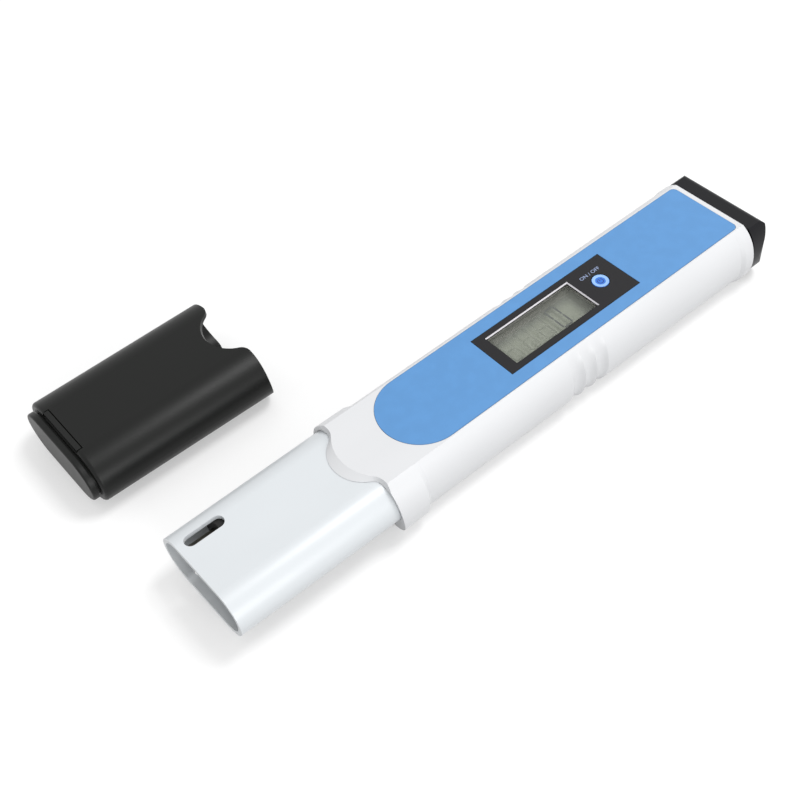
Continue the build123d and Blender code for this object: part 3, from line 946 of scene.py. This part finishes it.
@dataclass
class Key(SubAssembly):
    """Power key with a dished top and its printed ring and symbol."""

    centre: tuple[float, float] = (34.3 * MM, 0.0)
    radius: float = 2.05 * MM
    edge_round: float = 0.12 * MM
    skirt_height: float = 0.8 * MM
    dish_share: float = 0.9
    dish_depth: float = 0.12 * MM
    sink: float = 0.02 * MM
    ring_inner: float = 1.22 * MM
    symbol_radius: float = 0.7 * MM
    symbol_stroke: float = 0.22 * MM
    symbol_gap: float = 32.0
    ink_lift: float = 0.012 * MM

    def height(self, radius: np.ndarray) -> np.ndarray:
        """Top height at a distance from the axis: a shallow bowl, depth times 1 - (r/R)^2."""
        share = np.clip(radius / (self.radius * self.dish_share), 0.0, 1.0)
        return -self.dish_depth * (1.0 - share**2)

    def band(
        self, name: str, inner: float, outer: float, start: float, end: float
    ) -> bpy.types.Object:
        """Thin ink band that lies in the dish.

        Radius runs from inner to outer along the rows and angle from start to end along the
        columns; the height is the dish's plus the ink's lift.

        Args:
            name: The piece's name.
            inner: Inner radius.
            outer: Outer radius.
            start: First angle in degrees.
            end: Last angle in degrees.

        Returns:
            The new object.
        """
        radius = np.linspace(inner, outer, 5)[:, None]
        angle = np.radians(np.linspace(start, end, 97))[None, :]
        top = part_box("power_button")[1].z - self.sink
        points = np.stack(
            [
                self.centre[0] + radius * np.cos(angle),
                self.centre[1] + radius * np.sin(angle),
                top + self.height(radius) + self.ink_lift + 0.0 * angle,
            ],
            axis=-1,
        )
        return MeshMaker.grid(name, points)

    def bar(self) -> bpy.types.Object:
        """Upright stroke of the power symbol, laid in the dish."""
        across = np.linspace(-self.symbol_stroke / 2, self.symbol_stroke / 2, 3)[:, None]
        along = np.linspace(0.0, self.symbol_radius * 1.25, 9)[None, :]
        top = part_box("power_button")[1].z - self.sink
        radius = np.hypot(across, along)
        points = np.stack(
            [
                self.centre[0] + across + 0.0 * along,
                self.centre[1] + along + 0.0 * across,
                top + self.height(radius) + self.ink_lift,
            ],
            axis=-1,
        )
        return MeshMaker.grid("key_symbol_bar", points)

    def build(self) -> None:
        """Replace the plain CAD key and print its marks."""
        low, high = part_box("power_button")
        skirt = (high.x - low.x) / 2
        tall = high.z - low.z - self.sink
        edge = np.linspace(0.0, math.pi / 2, 7)
        rim = np.column_stack(
            [
                self.radius - self.edge_round + self.edge_round * np.cos(edge),
                tall - self.edge_round + self.edge_round * np.sin(edge),
            ]
        )
        bowl_radius = np.linspace(self.radius * self.dish_share, 0.0, 13)
        bowl = np.column_stack([bowl_radius, tall + self.height(bowl_radius)])
        foot = np.array(
            [
                [0.0, 0.0],
                [skirt, 0.0],
                [skirt, self.skirt_height],
                [self.radius, self.skirt_height],
            ]
        )
        profile = np.vstack([foot, rim, bowl])
        key = MeshMaker.turned("power_key", (*self.centre, low.z), profile)
        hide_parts("power_button")
        blue = MouldedPlastic("key_blue", srgb(44, 108, 200), roughness=0.3)
        self.add(key, blue, Body.BUTTON, Slot.KEY)
        ring = self.band("key_ring", self.ring_inner, self.radius * 0.96, 0.0, 360.0)
        self.add(ring, Ink("ring_ink", srgb(140, 180, 228)), Body.BUTTON, Slot.KEY)
        inner = self.symbol_radius - self.symbol_stroke / 2
        outer = self.symbol_radius + self.symbol_stroke / 2
        arc = self.band(
            "key_symbol_arc", inner, outer, 90.0 + self.symbol_gap, 450.0 - self.symbol_gap
        )
        dark = Ink("symbol_ink", srgb(18, 50, 125))
        self.add(arc, dark, Body.BUTTON, Slot.KEY)
        self.add(self.bar(), dark, Body.BUTTON, Slot.KEY)
        self.dress("switch_stem", MouldedPlastic("stem_plastic", srgb(196, 60, 44)))


@dataclass
class Electronics(SubAssembly):
    """Circuit board and what is soldered to it."""

    def build(self) -> None:
        """Dress the board and its parts."""
        low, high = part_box("circuit_board")
        self.dress("circuit_board", SolderMask("board_lacquer", low.z, high.z))
        epoxy = MouldedPlastic("chip_epoxy", srgb(34, 34, 36), roughness=0.6)
        self.dress("controller_chip", epoxy)
        self.dress("small_components", MouldedPlastic("ceramic_parts", srgb(150, 122, 88)))
        self.dress("power_switch", MouldedPlastic("switch_black", srgb(28, 28, 30)))
        self.dress("crystal_can", Metal("can_nickel", srgb(205, 203, 198)))
        self.dress("calibration_trimmer", MouldedPlastic("trimmer_blue", srgb(40, 84, 168)))
        self.dress("trimmer_screw", Metal("screw_brass", srgb(212, 178, 104)))
        self.dress("board_contacts", Metal("blade_nickel", srgb(208, 204, 196)))


@dataclass
class BatteryUnit(SubAssembly):
    """Black battery cap with the tray and cells that come out with it."""

    cell_axis: tuple[float, float] = (0.0, 8.4 * MM)
    cell_seal: float = 4.7 * MM
    mark_height: float = 0.12 * MM
    mark_root: float = 0.01 * MM
    mark_arm: float = 0.9 * MM
    mark_half_stroke: float = 0.28 * MM
    mark_inset: float = 2.3 * MM
    plus_setback: float = 3.0 * MM
    minus_setback: float = 3.5 * MM

    def polarity_marks(self) -> bpy.types.Object:
        """Raised plus and minus signs on the tray's wings."""
        low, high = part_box("battery_tray")
        arm, thick = self.mark_arm, self.mark_half_stroke
        y = high.y - self.mark_inset
        plus = [
            (-thick, -arm), (thick, -arm), (thick, -thick), (arm, -thick),
            (arm, thick), (thick, thick), (thick, arm), (-thick, arm),
            (-thick, thick), (-arm, thick), (-arm, -thick), (-thick, -thick),
        ]
        minus = [(-thick, -arm), (thick, -arm), (thick, arm), (-thick, arm)]
        outlines = [
            np.array(plus) + (high.x - self.plus_setback, y),
            np.array(minus) + (low.x + self.minus_setback, y),
        ]
        root, top = high.z - self.mark_root, high.z + self.mark_height
        return MeshMaker.plates("polarity_marks", outlines, root, top)

    def build(self) -> None:
        """Dress the cap, tray, cells and contacts."""
        black = MouldedPlastic("end_black", srgb(14, 14, 18), roughness=0.38, specular=0.2)
        self.dress("battery_cap", black)
        rubber = MouldedPlastic("seal_rubber", srgb(30, 30, 30), roughness=0.7)
        self.dress("battery_cap_seal", rubber)
        tray = MouldedPlastic("tray_plastic", srgb(214, 212, 204), roughness=0.5)
        self.dress("battery_tray", tray)
        cells = CellSteel("cell_nickel", self.cell_axis, self.cell_seal)
        self.dress("button_cells", cells)
        self.dress("tray_contacts", Metal("contact_nickel", srgb(206, 202, 194)))
        self.dress("contact_spring", Metal("spring_steel", srgb(190, 188, 182), roughness=0.25))
        self.add(self.polarity_marks(), tray, Body.BATTERY, Slot.TRAY)


@dataclass
class ProbeCap(SubAssembly):
    """Loose black cap that covers the probe."""

    black: Colour = srgb(19, 20, 19)

    def build(self) -> None:
        """Dress the cap's two parts."""
        finish = MouldedPlastic("cap_black", self.black, roughness=0.38, specular=0.2)
        self.dress("probe_cap", finish)
        plug = MouldedPlastic("plug_black", self.black, roughness=0.4, specular=0.22)
        self.dress("probe_cap_plug", plug)


@dataclass
class Studio:
    """Pale floor, soft lamps, white surroundings and the camera."""

    floor_half: float = 3.0
    floor_height: float = -0.0001
    floor_tone: float = 0.9
    floor_bounce: float = 0.4
    floor_lift: float = 0.4
    world_fill: float = 0.8
    overhead_place: tuple[float, float, float] = (0.33, -0.1, 0.83)
    overhead_width: float = 0.3
    side_place: tuple[float, float, float] = (-0.1, -0.85, 0.3)
    side_width: float = 0.5
    lamp_power: float = 4.0
    lens: float = 54.19
    sensor: float = 36.0
    eye: tuple[float, float, float] = (-0.12029, -0.12925, 0.2123)
    right: tuple[float, float, float] = (0.758189, -0.64888, -0.06407)
    up: tuple[float, float, float] = (0.528102, 0.553475, 0.644029)
    ahead: tuple[float, float, float] = (0.382437, 0.522131, -0.762313)

    def seen(self, recipe: Recipe) -> Wire:
        """One for rays from the camera, a mirror or glass, otherwise nought."""
        path = recipe.node("ShaderNodeLightPath")
        camera = recipe.wire(path, "Is Camera Ray")
        glossy = recipe.wire(path, "Is Glossy Ray")
        clear = recipe.wire(path, "Is Transmission Ray")
        return (camera + glossy + clear) > 0.5

    def floor(self) -> bpy.types.Object:
        """Flat pale floor that keeps the soft shadow and reads as white."""
        side = np.linspace(-self.floor_half, self.floor_half, 9)
        x, y = np.meshgrid(side, side, indexing="ij")
        points = np.stack([x, y, np.full_like(x, self.floor_height)], axis=-1)
        floor = MeshMaker.grid("floor", points)
        recipe = Recipe("floor_paper")
        paper = recipe.noise(700.0, 2.0)
        pale = recipe.blend(paper, (self.floor_tone,) * 3, (self.floor_tone * 0.99,) * 3)
        tone = recipe.blend(self.seen(recipe), (self.floor_bounce,) * 3, pale)
        matt = recipe.node("ShaderNodeBsdfDiffuse", inputs={"Color": tone})
        glow = recipe.node("ShaderNodeEmission", inputs={"Color": (1.0, 1.0, 1.0), "Strength": 1.0})
        share = self.seen(recipe) * self.floor_lift
        mixed = recipe.node(
            "ShaderNodeMixShader", inputs={0: share, 1: recipe.wire(matt), 2: recipe.wire(glow)}
        )
        recipe.node("ShaderNodeOutputMaterial", inputs={"Surface": recipe.wire(mixed)})
        floor.data.materials.append(recipe.owner)
        return floor

    def world(self) -> None:
        """White surroundings where they are seen, and a plain fill elsewhere."""
        recipe = Recipe("surroundings", surroundings=True)
        bpy.context.scene.world = recipe.owner
        strength = self.world_fill + self.seen(recipe) * (1.0 - self.world_fill)
        background = recipe.node(
            "ShaderNodeBackground", inputs={"Color": (1.0, 1.0, 1.0), "Strength": strength}
        )
        recipe.node("ShaderNodeOutputWorld", inputs={"Surface": recipe.wire(background)})

    def lamp(self, name: str, place: Sequence[float], width: float) -> None:
        """Add one square soft lamp that points at the origin.

        Args:
            name: The lamp's name.
            place: Where it hangs.
            width: Length of its sides.
        """
        data = bpy.data.lights.new(name, "AREA")
        data.shape = "SQUARE"
        data.size = width
        data.energy = self.lamp_power
        lamp = bpy.data.objects.new(name, data)
        bpy.context.scene.collection.objects.link(lamp)
        lamp.location = place
        aim = -Vector(place)
        lamp.rotation_euler = aim.to_track_quat("-Z", "Y").to_euler()

    def camera(self) -> None:
        """Camera at the photograph's place and angle."""
        data = bpy.data.cameras.new("camera")
        data.lens = self.lens
        data.sensor_width = self.sensor
        data.clip_start = 0.01
        data.clip_end = 20.0
        camera = bpy.data.objects.new("camera", data)
        bpy.context.scene.collection.objects.link(camera)
        back = tuple(-value for value in self.ahead)
        turn = Matrix((self.right, self.up, back)).transposed()
        camera.matrix_world = Matrix.Translation(self.eye) @ turn.to_4x4()
        bpy.context.scene.camera = camera

    def build(self) -> None:
        """Set up everything that isn't part of the object."""
        bpy.context.scene.view_settings.view_transform = "Standard"
        self.floor()
        self.world()
        self.lamp("overhead_softbox", self.overhead_place, self.overhead_width)
        self.lamp("side_softbox", self.side_place, self.side_width)
        self.camera()


def report(name: str, assembly: SubAssembly) -> None:
    """Log the pieces of one sub-assembly."""
    for piece in assembly.pieces:
        LOG.info("%s: %s", name, piece)


def main() -> None:
    """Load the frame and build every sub-assembly."""
    logging.basicConfig(level=logging.INFO, format="%(message)s")
    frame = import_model()
    for kind in (Shell, Probe, Front, Key, Electronics, BatteryUnit, ProbeCap):
        assembly = kind(frame)
        assembly.build()
        report(kind.__name__, assembly)
    Studio().build()


if __name__ == "__main__":
    main()
